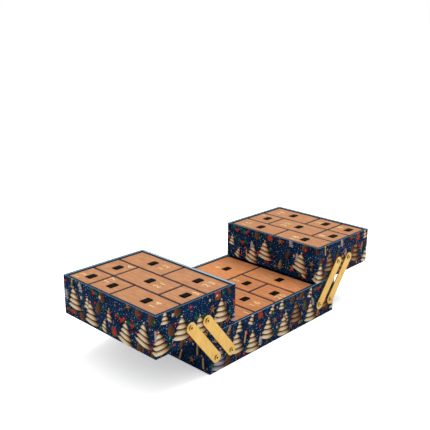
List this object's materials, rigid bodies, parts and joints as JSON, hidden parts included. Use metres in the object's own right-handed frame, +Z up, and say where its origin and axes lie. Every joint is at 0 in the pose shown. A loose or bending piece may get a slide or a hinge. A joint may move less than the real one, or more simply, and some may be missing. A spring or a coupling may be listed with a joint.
{
  "type": "advent calendar box",
  "caption": "Table-top advent calendar: a printed board base box with side trays that swing out on riveted gold arms, packed with lift-out numbered cartons.",
  "frame": {"origin": "centre of the base box's underside, on the surface that it stands on", "axes": "+X along the base's long side, from the left tray to the right tray; +Y from the pictured long side to the far one; +Z up"},
  "size_m": [0.5922, 0.2446, 0.1458],
  "materials": {
    "printed_board": "satin",
    "plain_board": "matte",
    "kraft_board": "matte",
    "gold_metal": "satin"
  },
  "bodies": {
    "base": {"base_walls": "printed_board", "base_floor": "plain_board", "base_dividers": "plain_board", "left_outer_front_base_rivet": "gold_metal", "left_outer_back_base_rivet": "gold_metal", "left_inner_front_base_rivet": "gold_metal", "left_inner_back_base_rivet": "gold_metal", "right_outer_front_base_rivet": "gold_metal", "right_outer_back_base_rivet": "gold_metal", "right_inner_front_base_rivet": "gold_metal", "right_inner_back_base_rivet": "gold_metal"},
    "left_outer_arms": {"left_outer_front_arm": "gold_metal", "left_outer_back_arm": "gold_metal"},
    "left_inner_arms": {"left_inner_front_arm": "gold_metal", "left_inner_back_arm": "gold_metal"},
    "left_tray": {"left_tray_walls": "printed_board", "left_tray_floor": "plain_board", "left_tray_dividers": "plain_board", "left_outer_front_tray_rivet": "gold_metal", "left_outer_back_tray_rivet": "gold_metal", "left_inner_front_tray_rivet": "gold_metal", "left_inner_back_tray_rivet": "gold_metal"},
    "right_outer_arms": {"right_outer_front_arm": "gold_metal", "right_outer_back_arm": "gold_metal"},
    "right_inner_arms": {"right_inner_front_arm": "gold_metal", "right_inner_back_arm": "gold_metal"},
    "right_tray": {"right_tray_walls": "printed_board", "right_tray_floor": "plain_board", "right_tray_dividers": "plain_board", "right_outer_front_tray_rivet": "gold_metal", "right_outer_back_tray_rivet": "gold_metal", "right_inner_front_tray_rivet": "gold_metal", "right_inner_back_tray_rivet": "gold_metal"},
    "base_carton_1": {"base_carton_1": "kraft_board"},
    "base_carton_2": {"base_carton_2": "kraft_board"},
    "base_carton_3": {"base_carton_3": "kraft_board"},
    "base_carton_4": {"base_carton_4": "kraft_board"},
    "base_carton_5": {"base_carton_5": "kraft_board"},
    "base_carton_6": {"base_carton_6": "kraft_board"},
    "base_carton_7": {"base_carton_7": "kraft_board"},
    "base_carton_8": {"base_carton_8": "kraft_board"},
    "left_tray_carton_1": {"left_tray_carton_1": "kraft_board"},
    "left_tray_carton_2": {"left_tray_carton_2": "kraft_board"},
    "left_tray_carton_3": {"left_tray_carton_3": "kraft_board"},
    "left_tray_carton_4": {"left_tray_carton_4": "kraft_board"},
    "left_tray_carton_5": {"left_tray_carton_5": "kraft_board"},
    "left_tray_carton_6": {"left_tray_carton_6": "kraft_board"},
    "left_tray_carton_7": {"left_tray_carton_7": "kraft_board"},
    "left_tray_carton_8": {"left_tray_carton_8": "kraft_board"},
    "right_tray_carton_1": {"right_tray_carton_1": "kraft_board"},
    "right_tray_carton_2": {"right_tray_carton_2": "kraft_board"},
    "right_tray_carton_3": {"right_tray_carton_3": "kraft_board"},
    "right_tray_carton_4": {"right_tray_carton_4": "kraft_board"},
    "right_tray_carton_5": {"right_tray_carton_5": "kraft_board"},
    "right_tray_carton_6": {"right_tray_carton_6": "kraft_board"},
    "right_tray_carton_7": {"right_tray_carton_7": "kraft_board"},
    "right_tray_carton_8": {"right_tray_carton_8": "kraft_board"}
  },
  "joints": [
    {"name": "left_fold", "type": "hinge", "parent": "base", "child": "left_outer_arms", "pos_m": [-0.165, 0, 0.028], "axis": [0, -1, 0], "range_deg": [-76.4, 0]},
    {"name": "left_inner_arms_pivot", "type": "hinge", "parent": "base", "child": "left_inner_arms", "pos_m": [-0.1285, 0, 0.028], "axis": [0, -1, 0], "range_deg": [-76.4, 0]},
    {"name": "left_tray_pivot", "type": "hinge", "parent": "left_outer_arms", "child": "left_tray", "pos_m": [-0.22356, 0, 0.1023], "axis": [0, -1, 0], "range_deg": [0, 76.4]},
    {"name": "right_fold", "type": "hinge", "parent": "base", "child": "right_outer_arms", "pos_m": [0.165, 0, 0.028], "axis": [0, 1, 0], "range_deg": [-76.4, 0]},
    {"name": "right_inner_arms_pivot", "type": "hinge", "parent": "base", "child": "right_inner_arms", "pos_m": [0.1285, 0, 0.028], "axis": [0, 1, 0], "range_deg": [-76.4, 0]},
    {"name": "right_tray_pivot", "type": "hinge", "parent": "right_outer_arms", "child": "right_tray", "pos_m": [0.22356, 0, 0.1023], "axis": [0, 1, 0], "range_deg": [0, 76.4]},
    {"name": "base_carton_1_lift", "type": "slide", "parent": "base", "child": "base_carton_1", "axis": [0, 0, 1], "range_m": [0, 0.15]},
    {"name": "base_carton_2_lift", "type": "slide", "parent": "base", "child": "base_carton_2", "axis": [0, 0, 1], "range_m": [0, 0.15]},
    {"name": "base_carton_3_lift", "type": "slide", "parent": "base", "child": "base_carton_3", "axis": [0, 0, 1], "range_m": [0, 0.15]},
    {"name": "base_carton_4_lift", "type": "slide", "parent": "base", "child": "base_carton_4", "axis": [0, 0, 1], "range_m": [0, 0.15]},
    {"name": "base_carton_5_lift", "type": "slide", "parent": "base", "child": "base_carton_5", "axis": [0, 0, 1], "range_m": [0, 0.15]},
    {"name": "base_carton_6_lift", "type": "slide", "parent": "base", "child": "base_carton_6", "axis": [0, 0, 1], "range_m": [0, 0.15]},
    {"name": "base_carton_7_lift", "type": "slide", "parent": "base", "child": "base_carton_7", "axis": [0, 0, 1], "range_m": [0, 0.15]},
    {"name": "base_carton_8_lift", "type": "slide", "parent": "base", "child": "base_carton_8", "axis": [0, 0, 1], "range_m": [0, 0.15]},
    {"name": "left_tray_carton_1_lift", "type": "slide", "parent": "left_tray", "child": "left_tray_carton_1", "axis": [0, 0, 1], "range_m": [0, 0.075]},
    {"name": "left_tray_carton_2_lift", "type": "slide", "parent": "left_tray", "child": "left_tray_carton_2", "axis": [0, 0, 1], "range_m": [0, 0.075]},
    {"name": "left_tray_carton_3_lift", "type": "slide", "parent": "left_tray", "child": "left_tray_carton_3", "axis": [0, 0, 1], "range_m": [0, 0.075]},
    {"name": "left_tray_carton_4_lift", "type": "slide", "parent": "left_tray", "child": "left_tray_carton_4", "axis": [0, 0, 1], "range_m": [0, 0.075]},
    {"name": "left_tray_carton_5_lift", "type": "slide", "parent": "left_tray", "child": "left_tray_carton_5", "axis": [0, 0, 1], "range_m": [0, 0.075]},
    {"name": "left_tray_carton_6_lift", "type": "slide", "parent": "left_tray", "child": "left_tray_carton_6", "axis": [0, 0, 1], "range_m": [0, 0.075]},
    {"name": "left_tray_carton_7_lift", "type": "slide", "parent": "left_tray", "child": "left_tray_carton_7", "axis": [0, 0, 1], "range_m": [0, 0.075]},
    {"name": "left_tray_carton_8_lift", "type": "slide", "parent": "left_tray", "child": "left_tray_carton_8", "axis": [0, 0, 1], "range_m": [0, 0.075]},
    {"name": "right_tray_carton_1_lift", "type": "slide", "parent": "right_tray", "child": "right_tray_carton_1", "axis": [0, 0, 1], "range_m": [0, 0.075]},
    {"name": "right_tray_carton_2_lift", "type": "slide", "parent": "right_tray", "child": "right_tray_carton_2", "axis": [0, 0, 1], "range_m": [0, 0.075]},
    {"name": "right_tray_carton_3_lift", "type": "slide", "parent": "right_tray", "child": "right_tray_carton_3", "axis": [0, 0, 1], "range_m": [0, 0.075]},
    {"name": "right_tray_carton_4_lift", "type": "slide", "parent": "right_tray", "child": "right_tray_carton_4", "axis": [0, 0, 1], "range_m": [0, 0.075]},
    {"name": "right_tray_carton_5_lift", "type": "slide", "parent": "right_tray", "child": "right_tray_carton_5", "axis": [0, 0, 1], "range_m": [0, 0.075]},
    {"name": "right_tray_carton_6_lift", "type": "slide", "parent": "right_tray", "child": "right_tray_carton_6", "axis": [0, 0, 1], "range_m": [0, 0.075]},
    {"name": "right_tray_carton_7_lift", "type": "slide", "parent": "right_tray", "child": "right_tray_carton_7", "axis": [0, 0, 1], "range_m": [0, 0.075]},
    {"name": "right_tray_carton_8_lift", "type": "slide", "parent": "right_tray", "child": "right_tray_carton_8", "axis": [0, 0, 1], "range_m": [0, 0.075]}
  ],
  "couplings": [
    {"joint": "left_inner_arms_pivot", "follows": "left_fold", "ratio": 1},
    {"joint": "left_tray_pivot", "follows": "left_fold", "ratio": -1},
    {"joint": "right_inner_arms_pivot", "follows": "right_fold", "ratio": 1},
    {"joint": "right_tray_pivot", "follows": "right_fold", "ratio": -1}
  ]
}
